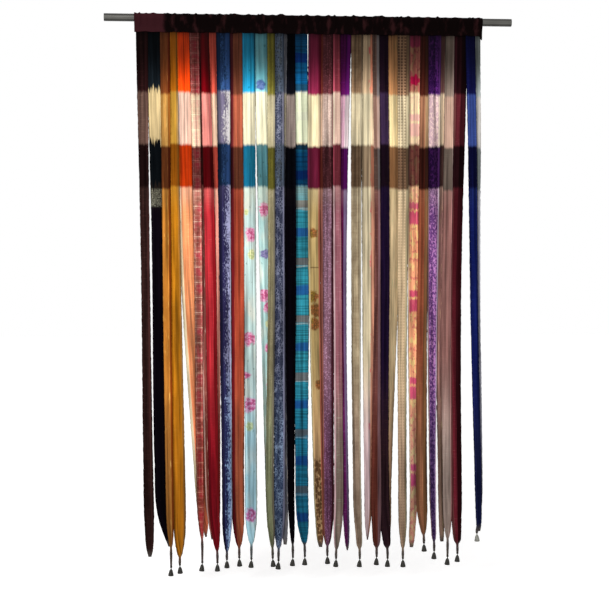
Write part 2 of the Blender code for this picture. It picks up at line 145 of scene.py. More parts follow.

# One cloth a ribbon. Colours are sRGB, 0 to 255.
# lit: the open cloth below, deep: the cloth in the painted shade above (also the clouds of the scales print),
# figure: its print or yarn
# sheer: how far the painted backlight whitens the cloth in the backlit band, from 0 to 1
# left, right: a strip along that edge, if any, as (its share of the width, its colour)
# foot: what the cloth's ground turns to in the lowest third, if it does
Cloth = namedtuple("Cloth", "lit deep figure sheer print left right foot", defaults=(None, None, None))
CLOTHS = {
    "maroon_brown": Cloth((42, 23, 21), (19, 6, 6), (92, 60, 54), 0.45, "plain", right=(0.3, (60, 34, 32))),
    "black_silk": Cloth((10, 5, 12), (6, 9, 12), (150, 148, 128), 0.92, "patch"),
    "mustard_left": Cloth((180, 114, 42), (90, 45, 18), (232, 176, 86), 0.36, "streaks",
        right=(0.24, (128, 56, 8)), foot=(124, 80, 34)),
    "mustard_right": Cloth((180, 114, 20), (124, 68, 6), (204, 146, 56), 0.42, "plain",
        right=(0.18, (150, 104, 50)), foot=(150, 92, 16)),
    "orange": Cloth((232, 146, 96), (170, 46, 4), (250, 196, 150), 0.76, "plain",
        left=(0.2, (246, 226, 186)), foot=(170, 86, 58)),
    "rose_ladder": Cloth((164, 84, 76), (84, 34, 32), (222, 178, 156), 0.76, "plaid", foot=(118, 44, 38)),
    "brown_gilt": Cloth((130, 70, 62), (38, 10, 9), (226, 186, 170), 0.05, "streaks",
        left=(0.2, (214, 170, 158)), foot=(118, 54, 44)),
    "crimson": Cloth((180, 42, 50), (62, 0, 3), (214, 92, 90), 0.66, "plain",
        right=(0.3, (140, 20, 28)), foot=(84, 2, 12)),
    "salmon": Cloth((240, 154, 136), (144, 54, 42), (252, 196, 180), 0.70, "plain", foot=(120, 24, 24)),
    "indigo": Cloth((40, 36, 72), (16, 30, 54), (156, 156, 190), 0.50, "brushed",
        left=(0.3, (30, 28, 56)), right=(0.08, (186, 186, 208)), foot=(34, 39, 77)),
    "terracotta": Cloth((164, 68, 46), (82, 42, 28), (190, 100, 62), 0.26, "plain",
        left=(0.3, (104, 22, 28)), foot=(120, 62, 42)),
    "aqua_rose": Cloth((186, 210, 206), (18, 98, 128), (206, 84, 146), 0.86, "roses",
        right=(0.12, (160, 176, 170)), foot=(128, 164, 176)),
    "mint_rose": Cloth((168, 202, 198), (64, 106, 112), (214, 78, 138), 0.86, "roses",
        foot=(120, 132, 118)),
    "olive": Cloth((130, 122, 92), (76, 72, 26), (156, 146, 116), 0.47, "mottle",
        right=(0.25, (104, 98, 84)), foot=(96, 100, 74)),
    "slate": Cloth((41, 46, 68), (40, 46, 56), (142, 146, 168), 0.12, "mottle",
        right=(0.16, (120, 120, 142)), foot=(33, 43, 65)),
    "grey_plum": Cloth((84, 88, 104), (72, 72, 78), (170, 166, 170), 0.90, "streaks", foot=(90, 90, 96)),
    "black_satin": Cloth((4, 2, 6), (3, 3, 6), (18, 18, 24), 0.80, "plain"),
    "turquoise": Cloth((44, 132, 150), (4, 52, 84), (26, 70, 132), 0.92, "blocks", foot=(18, 82, 108)),
    "tan_paisley": Cloth((164, 140, 92), (80, 18, 38), (74, 48, 22), 0.86, "paisley",
        left=(0.14, (190, 172, 128)), right=(0.16, (152, 84, 66)), foot=(150, 118, 84)),
    "mauve": Cloth((126, 90, 106), (62, 28, 32), (170, 132, 154), 0.68, "scales",
        left=(0.2, (140, 86, 74)), right=(0.2, (66, 26, 36)), foot=(84, 50, 72)),
    "rose_taupe": Cloth((150, 92, 102), (80, 28, 36), (208, 172, 176), 0.70, "plain",
        left=(0.2, (212, 174, 178)), foot=(104, 92, 82)),
    "magenta": Cloth((80, 14, 54), (48, 4, 42), (134, 84, 116), 0.84, "plain",
        right=(0.34, (104, 84, 116)), foot=(78, 60, 78)),
    "khaki": Cloth((164, 148, 120), (94, 75, 56), (116, 94, 70), 0.72, "check",
        right=(0.16, (176, 164, 140)), foot=(120, 102, 88)),
    "peach": Cloth((186, 172, 142), (134, 114, 90), (206, 92, 100), 0.80, "patches",
        right=(0.3, (190, 132, 108)), foot=(164, 140, 144)),
    "umber": Cloth((108, 64, 60), (70, 52, 46), (166, 126, 108), 0.52, "plain",
        right=(0.36, (116, 84, 88)), foot=(74, 32, 24)),
    "navy_indigo": Cloth((24, 12, 38), (17, 7, 16), (60, 36, 42), 0.32, "plain",
        left=(0.12, (56, 36, 46)), foot=(44, 24, 22)),
    "gold_beige": Cloth((190, 166, 128), (118, 82, 52), (150, 152, 116), 0.82, "streaks",
        foot=(116, 88, 68)),
    "tan_dash": Cloth((202, 176, 140), (106, 80, 60), (98, 76, 58), 0.62, "dashes",
        right=(0.2, (160, 146, 114)), foot=(136, 112, 92)),
    "coral_ikat": Cloth((226, 154, 114), (98, 54, 46), (198, 66, 104), 0.76, "ikat",
        left=(0.14, (208, 176, 144)), foot=(146, 104, 88)),
    "rust": Cloth((130, 68, 46), (48, 16, 10), (166, 104, 64), 0.42, "plain",
        right=(0.36, (114, 78, 50)), foot=(122, 80, 56)),
    "violet": Cloth((166, 112, 166), (44, 14, 56), (74, 34, 96), 0.72, "leaves",
        left=(0.14, (178, 140, 148)), right=(0.12, (204, 180, 200)), foot=(66, 46, 86)),
    "gold_brown": Cloth((156, 112, 106), (62, 40, 38), (214, 176, 144), 0.82, "streaks",
        foot=(100, 80, 68)),
    "mauve_taupe": Cloth((138, 96, 90), (86, 74, 66), (160, 126, 118), 0.50, "plain",
        right=(0.12, (172, 118, 116)), foot=(130, 114, 106)),
    "wine": Cloth((70, 18, 26), (24, 5, 8), (116, 66, 68), 0.16, "plain",
        left=(0.28, (116, 62, 62)), right=(0.4, (42, 8, 14)), foot=(98, 48, 56)),
    "royal_navy": Cloth((14, 23, 78), (6, 8, 42), (44, 60, 140), 0.56, "plain", foot=(14, 17, 44)),
    "silver": Cloth((146, 146, 156), (100, 106, 104), (170, 172, 180), 0.40, "plain", foot=(84, 84, 94)),
}
# How ragged the edges of the painted backlight band are on a cloth, in metres, and which cloth has them most
# ragged
RAGGED = 0.014
RAGGED_MOST = {"black_silk": 0.10}

# Flowers and motifs, as (kind, across in shares of the width, drop, radius), the last two in millimetres
ROSES = {
    "aqua_rose": (("rose", 0.62, 782, 27), ("leaf", 0.6, 856, 24), ("rose", 0.4, 1165, 28),
                  ("rose", 0.15, 1300, 16), ("rose", 0.5, 1410, 30), ("leaf", 0.4, 1490, 22),
                  ("rose", 0.55, 1822, 28), ("leaf", 0.2, 700, 14)),
    "mint_rose": (("violet", 0.4, 236, 20), ("rose", 0.5, 690, 27), ("violet", 0.4, 854, 20),
                  ("rose", 0.35, 1006, 26), ("rose", 0.55, 1050, 22), ("leaf", 0.5, 1112, 18),
                  ("rose", 0.5, 1200, 18), ("rose", 0.6, 1335, 22)),
}
PAISLEYS = ((0.34, 775, 22), (0.3, 1010, 26), (0.5, 1060, 32), (0.34, 1112, 28), (0.72, 1338, 22))
PAISLEY_THREAD = 903 * MM
SPOTS_DROP = 1600 * MM
IKAT_ROSE = (0.5, 214, 22)
IKAT_PERIOD = 325 * MM
IKAT_START = 10 * MM
LADDER_PERIOD = 55.5 * MM
LADDER_START = 14 * MM
BLOCK_PERIOD = 212 * MM
BLOCK_START = 20 * MM
CHECK_PERIOD = 5.2 * MM
DASH_PERIOD = 11 * MM
PATCH_TOP = 617 * MM
PATCH_LOW = 681 * MM

BELL_SIDES = 40
BELL_METAL = (54, 53, 50)
PALE_BELL_METAL = (131, 131, 124)
HEADER_COLOURS = ((9, 4, 4), (42, 20, 21), (50, 22, 26))
ROD_COLOUR = (98, 97, 93)
THREAD_COLOUR = (40, 34, 32)


def linear(colour):
    """An sRGB colour, 0 to 255, as linear RGBA."""
    channels = []
    for value in colour:
        c = value / 255
        channels.append(c / 12.92 if c <= 0.04045 else ((c + 0.055) / 1.055) ** 2.4)
    return (*channels, 1.0)


class Painter:
    """A material under construction. Its methods add nodes and return their output sockets."""

    def __init__(self, name, roughness, metallic=0.0, specular=0.1):
        self.material = bpy.data.materials.new(name)
        self.material.use_nodes = True
        self.tree = self.material.node_tree
        self.shader = self.tree.nodes["Principled BSDF"]
        self.shader.inputs["Roughness"].default_value = roughness
        self.shader.inputs["Metallic"].default_value = metallic
        self.shader.inputs["Specular IOR Level"].default_value = specular

    def plug(self, socket, value):
        """Sets a socket, or links another node's output to it."""
        if isinstance(value, bpy.types.NodeSocket):
            self.tree.links.new(value, socket)
        else:
            socket.default_value = value

    def node(self, kind, settings=None, **inputs):
        made = self.tree.nodes.new(kind)
        for key, value in (settings or {}).items():
            setattr(made, key, value)
        for key, value in inputs.items():
            self.plug(made.inputs[key], value)
        return made

    def math(self, operation, first, second=0.0):
        made = self.node("ShaderNodeMath", {"operation": operation})
        for socket, value in zip(made.inputs, (first, second)):
            self.plug(socket, value)
        return made.outputs[0]

    def add(self, first, second):
        return self.math("ADD", first, second)

    def less(self, first, second):
        return self.math("SUBTRACT", first, second)

    def times(self, first, second):
        return self.math("MULTIPLY", first, second)

    def rise(self, value, start, end, low=0.0, high=1.0):
        """Smoothly from low at start to high at end."""
        made = self.node("ShaderNodeMapRange", {"interpolation_type": "SMOOTHSTEP"}, Value=value)
        made.inputs["From Min"].default_value = start
        made.inputs["From Max"].default_value = end
        made.inputs["To Min"].default_value = low
        made.inputs["To Max"].default_value = high
        return made.outputs["Result"]

    def band(self, value, start, end, blur):
        """1 between start and end, and 0 outside."""
        starts = self.rise(value, start - blur, start + blur)
        return self.times(starts, self.rise(value, end + blur, end - blur))

    def line(self, value, middle, outer, inner):
        """1 where the value is near the middle, and 0 from the outer distance on."""
        return self.rise(self.math("ABSOLUTE", self.less(value, middle)), outer, inner)

    def mix(self, share, first, second, blend="MIX"):
        """The first colour, with this share of the second over it."""
        made = self.node("ShaderNodeMix", {"data_type": "RGBA", "blend_type": blend})
        for socket, value in ((0, share), (6, first), (7, second)):
            self.plug(made.inputs[socket], value)
        return made.outputs[2]

    def lay(self, cover, most, under, over):
        """A colour laid over another where the cover is, up to the most share of it."""
        return self.mix(self.times(cover, most), under, over)

    def shade(self, colour, amount):
        """The colour made brighter or darker by a number."""
        made = self.node("ShaderNodeVectorMath", {"operation": "SCALE"}, Scale=amount)
        self.plug(made.inputs[0], colour[:3] if isinstance(colour, tuple) else colour)
        return made.outputs[0]

    def together(self, operation, first, second):
        """Two colours combined channel by channel."""
        made = self.node("ShaderNodeVectorMath", {"operation": operation})
        for socket, value in zip(made.inputs, (first, second)):
            self.plug(socket, value[:3] if isinstance(value, tuple) else value)
        return made.outputs[0]

    def vector(self, x, y, z=0.0):
        return self.node("ShaderNodeCombineXYZ", X=x, Y=y, Z=z).outputs[0]

    def parts(self, vector):
        """The X, Y and Z of a vector."""
        return self.node("ShaderNodeSeparateXYZ", Vector=vector).outputs

    def place(self, name):
        """Coordinates laid on a mesh under this name."""
        return self.node("ShaderNodeUVMap", {"uv_map": name}).outputs[0]

    def noise(self, vector, scale, detail=2.0, roughness=0.5):
        inputs = {"Vector": vector, "Scale": scale, "Detail": detail, "Roughness": roughness}
        return self.node("ShaderNodeTexNoise", **inputs).outputs["Fac"]

    def cells(self, vector, scale, feature="F1"):
        """The distance to the nearest heart of a cell, or to the cell's edge."""
        made = self.node("ShaderNodeTexVoronoi", {"feature": feature}, Vector=vector, Scale=scale)
        return made.outputs["Distance"]

    def repeat(self, value, period):
        """Place within a period, from 0 to 1."""
        return self.math("FRACT", self.math("DIVIDE", value, period))

    def weave(self, across, down, yarn, height, folds):
        """A bump of crossed yarns on top of the folds."""
        weft = self.math("SINE", self.times(down, TURN / yarn))
        warp = self.math("SINE", self.times(across, TURN / yarn))
        self.bump(self.add(self.times(self.add(weft, warp), height), folds), 0.5, BUMP_DEPTH)

    def bump(self, height, strength, distance):
        made = self.node("ShaderNodeBump", Strength=strength, Distance=distance, Height=height)
        self.plug(self.shader.inputs["Normal"], made.outputs[0])

    def finish(self, colour):
        self.plug(self.shader.inputs["Base Color"], colour)
        return self.material


class ClothPainter(Painter):
    """The painter of one ribbon. It knows the cloth's colours and where a point lies on the cloth."""

    def __init__(self, name, cloth, seed, width):
        shine = LEAST_SHINE + CLOTH_SHINE * max(cloth.lit) / 255
        super().__init__(name + "_cloth", CLOTH_ROUGHNESS, specular=shine)
        self.name = name
        self.width = width
        self.lit = linear(cloth.lit)
        self.deep = linear(cloth.deep)
        self.figure = linear(cloth.figure)
        self.across, self.down, _ = self.parts(self.place("metres"))
        self.share = self.parts(self.place("shares"))[0]
        # Shifted by the seed, so that no two ribbons match
        self.shifted = self.add(self.across, SEED_SHIFT * seed)
        self.flat = self.vector(self.shifted, self.down)

    def stretched(self, across, down):
        """Coordinates scaled apart, for marks that are long one way."""
        return self.vector(self.times(self.shifted, across), self.times(self.down, down))

    def streaks(self, across, down, detail=2.0, roughness=0.5):
        """Noise with about this many marks to the metre across and down the cloth."""
        return self.noise(self.stretched(across, down), 1.0, detail, roughness)

    def waver(self, across, down, amount, detail=2.0):
        """Streaks as a small amount more or less, for ragged edges."""
        return self.times(self.less(self.streaks(across, down, detail), 0.5), amount)


def print_plain(paint):
    """Slubs: short thicker yarns across the cloth."""
    slubs = paint.rise(paint.streaks(30, 500), 0.58, 0.72)
    return paint.lay(slubs, 0.4, paint.lit, paint.figure)


def print_scales(paint):
    """Small woven scales over a clouded ground."""
    spot = paint.cells(paint.flat, 170)
    clouds = paint.rise(paint.streaks(40, 16, 3), 0.38, 0.62)
    colour = paint.lay(clouds, 0.35, paint.lit, paint.deep)
    return paint.lay(paint.rise(spot, 0.5, 0.2), 0.8, colour, paint.figure)


def print_leaves(paint):
    """Dark leaves close together, and pale specks between them."""
    leaf = paint.cells(paint.stretched(190, 115), 1.0)
    spread = paint.rise(paint.share, 0.40, 0.95, 0.66, 0.44)
    dark = paint.rise(paint.less(spread, leaf), -0.05, 0.08)
    speck = paint.rise(paint.cells(paint.flat, 230), 0.30, 0.16)
    colour = paint.lay(dark, 0.85, paint.lit, paint.figure)
    return paint.lay(speck, 0.55, colour, linear((206, 168, 214)))


def print_brushed(paint):
    """Broken brush marks, thickest at the right edge, with bare stretches of ground between."""
    stroke = paint.streaks(240, 100, 3, 0.6)
    stretch = paint.waver(12, 15, 0.55)
    spread = paint.less(paint.rise(paint.share, 0.1, 1.0, 0.72, 0.42), stretch)
    cover = paint.rise(paint.less(stroke, spread), -0.10, 0.12, 0.0, 0.9)
    return paint.mix(cover, paint.lit, paint.figure)


def print_mottle(paint):
    """Small pale curls all over, worn off in stretches."""
    curls = paint.cells(paint.stretched(150, 100), 1.0, "DISTANCE_TO_EDGE")
    worn = paint.streaks(60, 26, 3)
    cover = paint.times(paint.rise(curls, 0.20, 0.05), paint.rise(worn, 0.42, 0.60, 0.15, 1.0))
    return paint.lay(cover, 0.6, paint.lit, paint.figure)


def print_streaks(paint):
    """Pale broken lines down the cloth."""
    line = paint.streaks(330, 17, 3, 0.6)
    spread = paint.rise(paint.share, 0.1, 0.95, 0.64, 0.56)
    return paint.lay(paint.rise(paint.less(line, spread), -0.02, 0.08), 0.85, paint.lit, paint.figure)


def print_patch(paint):
    """One worn, silvery patch of small checks."""
    inside = paint.band(paint.down, PATCH_TOP, PATCH_LOW, 5 * MM)
    grain = paint.noise(paint.flat, 240, 2)
    return paint.mix(paint.times(inside, paint.rise(grain, 0.35, 0.8)), paint.lit, paint.figure)


def print_patches(paint):
    """Faded flowers, far apart."""
    far = paint.streaks(30, 15, 3, 0.6)
    spread = paint.rise(paint.share, 0.25, 0.9, 0.72, 0.52)
    return paint.lay(paint.rise(paint.less(far, spread), -0.03, 0.07), 0.85, paint.lit, paint.figure)


def print_plaid(paint):
    """Rungs and side lines of pale yarn over squares of rose and brown."""
    ragged = paint.waver(60, 20, 0.06)
    step = paint.add(paint.repeat(paint.add(paint.down, LADDER_START), LADDER_PERIOD), ragged)
    broken = paint.rise(paint.noise(paint.flat, 75, 3), 0.36, 0.60)
    rung = paint.line(step, 0.5, 0.055, 0.02)
    rung = paint.times(rung, paint.add(paint.times(broken, 0.5), 0.35))
    quarter = paint.repeat(paint.down, LADDER_PERIOD / 4)
    fine = paint.times(paint.line(quarter, 0.5, 0.14, 0.06), broken)
    share = paint.add(paint.share, ragged)
    right = paint.line(share, 0.84, 0.06, 0.02)
    left = paint.line(share, 0.14, 0.05, 0.02)
    side = paint.times(paint.math("MAXIMUM", right, left), broken)
    lines = paint.math("MAXIMUM", rung, paint.times(fine, 0.3))
    lines = paint.math("MAXIMUM", lines, paint.times(side, 0.7))
    squares = paint.streaks(32, 24, 1)
    colour = paint.lay(paint.rise(squares, 0.46, 0.58), 0.6, paint.lit, linear((188, 62, 78)))
    colour = paint.lay(paint.rise(squares, 0.44, 0.34), 0.5, colour, linear((104, 52, 42)))
    dull = paint.times(paint.rise(paint.share, 0.5, 0.18), 0.45)
    colour = paint.mix(dull, colour, linear((120, 88, 70)))
    return paint.mix(lines, colour, paint.figure)


def print_check(paint):
    """A small woven check, worn through in places."""
    across = paint.rise(paint.repeat(paint.across, CHECK_PERIOD), 0.62, 0.72)
    down = paint.rise(paint.repeat(paint.down, CHECK_PERIOD), 0.62, 0.72)
    worn = paint.rise(paint.noise(paint.flat, 30, 3), 0.35, 0.6, 0.25, 1.0)
    lines = paint.times(paint.math("MAXIMUM", across, down), worn)
    return paint.lay(lines, 0.8, paint.lit, paint.figure)


def print_dashes(paint):
    """Columns of short dark dashes, strong above and faint below."""
    height = paint.line(paint.repeat(paint.down, DASH_PERIOD), 0.5, 0.24, 0.16)
    column = paint.math("PINGPONG", paint.add(paint.share, 0.02), 0.27)
    width_share = paint.line(column, 0.14, 0.10, 0.06)
    worn = paint.rise(paint.down, 0.35, 0.75, 1.0, 0.30)
    dashes = paint.times(paint.times(height, width_share), worn)
    seam = paint.line(paint.share, 0.76, 0.035, 0.01)
    colour = paint.mix(dashes, paint.lit, paint.figure)
    return paint.lay(seam, 0.5, colour, paint.figure)


def motif(paint, across, down, radius, petals, stretch=1.0):
    """A round motif: how much of it covers this point, and how far out from its heart it lies."""
    x = paint.times(paint.less(paint.across, across), stretch)
    y = paint.less(paint.down, down)
    out = paint.math("SQRT", paint.add(paint.times(x, x), paint.times(y, y)))
    angle = paint.math("ARCTAN2", y, x)
    wave = paint.times(paint.math("COSINE", paint.times(angle, petals)), 0.10)
    ragged = paint.times(paint.less(paint.noise(paint.flat, 70, 3), 0.5), 1.2)
    reach = paint.times(paint.add(paint.add(wave, ragged), 0.98), radius)
    return paint.rise(paint.math("DIVIDE", out, reach), 1.12, 0.68), paint.math("DIVIDE", out, radius)


# Motifs: petals, how narrow they are, and the colours of their rim and their heart
MOTIFS = {
    "rose": (3, 1.0, (192, 56, 118), (226, 150, 186)),
    "violet": (5, 1.0, (140, 122, 172), (96, 90, 142)),
    "leaf": (2, 1.7, (178, 188, 120), (216, 214, 160)),
}


def print_roses(paint):
    """Roses, violets and leaves, painted over a clouded ground one by one."""
    clouds = paint.rise(paint.streaks(20, 9), 0.45, 0.68)
    colour = paint.lay(clouds, 0.5, paint.lit, linear((226, 216, 196)))
    sprigs = paint.rise(paint.streaks(70, 34), 0.66, 0.71)
    colour = paint.lay(sprigs, 0.6, colour, linear((112, 140, 128)))
    for kind, share, drop, radius in ROSES[paint.name]:
        petals, stretch, rim, heart = MOTIFS[kind]
        cover, out = motif(paint, share * paint.width, drop * MM, radius * MM, petals, stretch)
        curl = paint.add(paint.noise(paint.flat, 105, 2), paint.times(out, 0.12))
        tint = paint.mix(paint.rise(curl, 0.48, 0.66), linear(rim), linear(heart))
        colour = paint.lay(cover, 0.9, colour, tint)
    return colour


def print_paisley(paint):
    """Paisley motifs of small curls in olive and brown, and a spotted stretch at the low end."""
    curls = paint.cells(paint.flat, 110, "DISTANCE_TO_EDGE")
    covers = 0.0
    for share, drop, radius in PAISLEYS:
        cover, _ = motif(paint, share * paint.width, drop * MM, radius * MM, 2, 1.2)
        covers = paint.math("MAXIMUM", covers, cover)
    hue = paint.rise(paint.streaks(30, 14, 1), 0.46, 0.54)
    dye = paint.mix(hue, linear((128, 98, 28)), linear((146, 84, 40)))
    dye = paint.lay(paint.rise(curls, 0.20, 0.05), 0.8, dye, paint.figure)
    colour = paint.lay(covers, 0.9, paint.lit, dye)
    thread = paint.line(paint.down, PAISLEY_THREAD, 0.004, 0.001)
    colour = paint.lay(thread, 0.6, colour, paint.figure)
    spots = paint.rise(paint.cells(paint.stretched(110, 90), 1.0), 0.80, 0.52)
    low = paint.rise(paint.down, SPOTS_DROP, SPOTS_DROP + 30 * MM)
    return paint.lay(paint.times(spots, low), 0.85, colour, paint.figure)


def print_blocks(paint):
    """Bands across: deep blue, lined teal and a dull grey, over and over."""
    step = paint.repeat(paint.less(paint.down, BLOCK_START), BLOCK_PERIOD)
    step = paint.add(step, paint.waver(16, 120, 0.10))
    blue = paint.band(step, 0.475, 0.635, 0.015)
    grey = paint.rise(step, 0.14, 0.12)
    thread = paint.line(step, 0.15, 0.018, 0.006)
    lines = paint.rise(paint.streaks(5, 250), 0.48, 0.58)
    colour = paint.lay(lines, 0.55, paint.lit, linear((18, 66, 78)))
    colour = paint.lay(blue, 0.85, colour, paint.figure)
    colour = paint.lay(grey, 0.85, colour, linear((100, 92, 88)))
    return paint.lay(thread, 0.4, colour, linear((196, 186, 174)))


def print_ikat(paint):
    """Blocks of pink and gold with the feathered edges of tied and dyed yarn."""
    feather = paint.waver(260, 5, 0.09, 1)
    step = paint.add(paint.repeat(paint.less(paint.down, IKAT_START), IKAT_PERIOD), feather)
    pink = paint.times(paint.rise(step, 0.0, 0.015), paint.rise(step, 0.27, 0.25))
    parting = paint.line(step, 0.10, 0.02, 0.01)
    gold = paint.streaks(70, 26)
    colour = paint.mix(paint.rise(gold, 0.50, 0.58), paint.lit, linear((222, 184, 122)))
    arrows = paint.rise(paint.streaks(90, 60), 0.56, 0.61)
    colour = paint.lay(arrows, 0.65, colour, linear((192, 92, 92)))
    share, drop, radius = IKAT_ROSE
    rose, _ = motif(paint, share * paint.width, drop * MM, radius * MM, 5, 1.1)
    colour = paint.mix(rose, colour, linear((226, 30, 84)))
    return paint.lay(paint.less(pink, paint.times(parting, pink)), 0.9, colour, paint.figure)


PRINTS = {
    "roses": print_roses,
    "plain": print_plain,
    "scales": print_scales,
    "leaves": print_leaves,
    "brushed": print_brushed,
    "mottle": print_mottle,
    "streaks": print_streaks,
    "patch": print_patch,
    "patches": print_patches,
    "plaid": print_plaid,
    "check": print_check,
    "dashes": print_dashes,
    "paisley": print_paisley,
    "blocks": print_blocks,
    "ikat": print_ikat,
}


def edge_strips(paint, cloth, colour):
    """The strips along the ribbon's edges, in a yarn of their own."""
    share = paint.add(paint.share, paint.waver(4, 7, 0.10))
    if cloth.left:
        width, tint = cloth.left
        colour = paint.mix(paint.rise(share, width + 0.04, width - 0.04), colour, linear(tint))
    if cloth.right:
        width, tint = cloth.right
        colour = paint.mix(paint.rise(share, 0.96 - width, 1.04 - width), colour, linear(tint))
    return colour


def painted_backlight_tone(paint, colour, sheer):
    """The cloth in the painted band of backlight: each colour moves towards a white of painted backlight, the
    deep ones most.
    """
    opened = paint.node("ShaderNodeGamma", Color=colour, Gamma=1 - sheer).outputs[0]
    white = linear(BACKLIGHT_WHITES.get(paint.name, WARM_BACKLIGHT))
    return paint.mix(1.0, opened, tuple(channel ** sheer for channel in white[:3]) + (1.0,), "MULTIPLY")


def open_tone(paint, colour):
    """The cloth's colour in the open stretch, by the drop: deeper in the middle and towards the low end."""
    for start, end, low, high in FADES:
        colour = paint.shade(colour, paint.rise(paint.down, start, end, low, high))
    return colour


def painted_shade_and_glow_tone(paint, colour, zone, sheer):
    """The cloth in painted shade above: a painted shadow under the hem, painted backlight that grows towards
    the backlit band, and an even painted brightness below it.
    """
    print_share = paint.together("MINIMUM", paint.together("DIVIDE", colour, paint.lit), MOST_PRINT)
    # Painted shadow under the hem of the header
    painted_hem_shadow = paint.rise(paint.down, HEM_DROP - 10 * MM, HEM_DROP + 30 * MM, 0.5, 1.0)
    shaded_cloth = paint.together("MULTIPLY", print_share, paint.shade(paint.deep, painted_hem_shadow))
    # Painted backlight, growing from under the hem towards the backlit band
    rising = paint.math("POWER", paint.rise(zone, 20 * MM, GLOW_END), 2.6)
    glow = paint.add(paint.times(rising, GLOW_MOST + GLOW_OF_SHEER * sheer), GLOW_LEAST)
    after = paint.rise(zone, BACKLIT_BAND_TOP, BACKLIT_BAND_LOW)
    glow = paint.times(glow, paint.less(1.0, after))
    return paint.shade(shaded_cloth, paint.add(glow, paint.times(after, GLOW_BELOW)))


def painted_fold_and_edge_shade(paint, folds):
    """Painted shade in the creases, with fine threads and clouds, and painted shade along both edges where
    the ribbons meet.
    """
    fine = paint.streaks(420, 8)
    clouds = paint.streaks(32, 5, 3)
    tone = paint.add(paint.rise(folds, 0.34, 0.62, 0.57, 1.28), paint.rise(fine, 0.3, 0.7, -0.15, 0.15))
    tone = paint.times(tone, paint.rise(clouds, 0.3, 0.7, 0.80, 1.20))
    # Painted shade along both edges, where the neighbouring ribbons meet
    edge = paint.math("MINIMUM", paint.share, paint.less(1.0, paint.share))
    return paint.times(tone, paint.rise(edge, 0.0, 0.09, 0.42, 1.0))


def cloth_material(name, cloth, seed, width, tip):
    """The cloth of one ribbon: its print, its zones of painted shade and painted backlight, its painted
    crease shade and its weave.
    """
    paint = ClothPainter(name, cloth, seed, width)
    colour = PRINTS[cloth.print](paint)
    lower = colour
    if cloth.foot:
        ratios = (FOOT_GAIN * foot / lit for foot, lit in zip(linear(cloth.foot), paint.lit))
        turned = tuple(min(ratio, MOST_FOOT) for ratio in ratios)
        near_foot = paint.times(paint.rise(paint.down, FOOT_START, FOOT_END), 0.9)
        lower = paint.together("MULTIPLY", colour, paint.mix(near_foot, (1, 1, 1, 1), turned))
    colour = edge_strips(paint, cloth, colour)
    lower = edge_strips(paint, cloth, lower)

    # Ragged edges of the painted backlight band
    ragged = paint.times(paint.less(paint.streaks(150, 12), 0.42), RAGGED_MOST.get(name, RAGGED))
    zone = paint.add(paint.add(paint.down, ZONE_BLUR * math.sin(2.3 * seed)), ragged)
    # Painted backlight in the band, painted shade above it and in the second band, and the open cloth below
    clear = painted_backlight_tone(paint, colour, cloth.sheer)
    in_backlit_band = paint.band(zone, BACKLIT_BAND_TOP, BACKLIT_BAND_LOW, ZONE_BLUR)
    below = paint.rise(zone, SHADED_BAND_LOW - ZONE_BLUR, SHADED_BAND_LOW + ZONE_BLUR)
    # A painted spill of backlight just below the second shaded band
    haze = HAZE * max(cloth.lit) / 255
    haze = paint.rise(paint.down, SHADED_BAND_LOW, SHADED_BAND_LOW + HAZE_LENGTH, haze, 0.0)
    upper = paint.mix(in_backlit_band, painted_shade_and_glow_tone(paint, colour, zone, cloth.sheer), clear)
    colour = paint.mix(below, upper, paint.mix(haze, open_tone(paint, lower), clear))
    # Painted shade in the creases and along the edges
    folds = paint.streaks(85, 1.1, 3, 0.55)
    colour = paint.shade(colour, painted_fold_and_edge_shade(paint, folds))
    bound = paint.rise(paint.down, tip - TAIL_ROLL_LENGTH, tip - 2 * MM, 0.0, 0.9)
    colour = paint.mix(bound, colour, linear(TAIL_COLOUR))
    paint.weave(paint.across, paint.down, YARN, 0.06, folds)
    return paint.finish(colour)


def metal_material(name, colour, roughness):
    """Cast metal, dull and worn, with pits."""
    paint = Painter(name, roughness, metallic=0.85)
    place = paint.node("ShaderNodeTexCoord").outputs["Object"]
    patina = paint.rise(paint.noise(place, 260, 4, 0.6), 0.35, 0.7, 0.55, 1.5)
    paint.bump(paint.noise(place, 900, 3), 0.4, 0.3 * MM)
    return paint.finish(paint.shade(linear(colour), patina))


def rod_material():
    """Brushed steel, with fine lines along the rod, and painted dark reflections along its top and bottom."""
    paint = Painter("rod_steel", 0.34, metallic=1.0)
    place = paint.node("ShaderNodeTexCoord").outputs["Object"]
    x, y, z = paint.parts(place)
    grain = paint.noise(paint.vector(paint.times(x, 6), paint.times(y, 900), paint.times(z, 900)), 1.0, 3)
    stains = paint.noise(place, 14, 4)
    shade = paint.times(paint.rise(grain, 0.3, 0.7, 0.82, 1.12), paint.rise(stains, 0.35, 0.7, 0.88, 1.06))
    # Painted dark reflections along the top and bottom of the rod
    shade = paint.times(shade, paint.rise(paint.math("ABSOLUTE", z), 4 * MM, 10 * MM, 1.0, 0.4))
    paint.bump(grain, 0.2, 0.2 * MM)
    return paint.finish(paint.shade(linear(ROD_COLOUR), shade))


def header_material():
    """Nearly black cloth with brown in it, and a maroon stretch at the left end."""
    paint = Painter("header_cloth", 0.82, specular=0.015)
    metres = paint.place("metres")
    along, round_rod, _ = paint.parts(metres)
    black, brown, maroon = (linear(colour) for colour in HEADER_COLOURS)
    streaks = paint.noise(paint.vector(paint.times(along, 38), paint.times(round_rod, 16)), 1.0, 3)
    colour = paint.mix(paint.rise(streaks, 0.50, 0.74), black, brown)
    ragged = paint.times(paint.less(paint.noise(metres, 30), 0.5), 0.03)
    at_left = paint.rise(paint.add(along, ragged), MAROON_LENGTH + MAROON_BLUR, MAROON_LENGTH - MAROON_BLUR)
    colour = paint.mix(at_left, colour, maroon)
    paint.weave(along, round_rod, HEADER_YARN, 0.1, streaks)
    return paint.finish(colour)


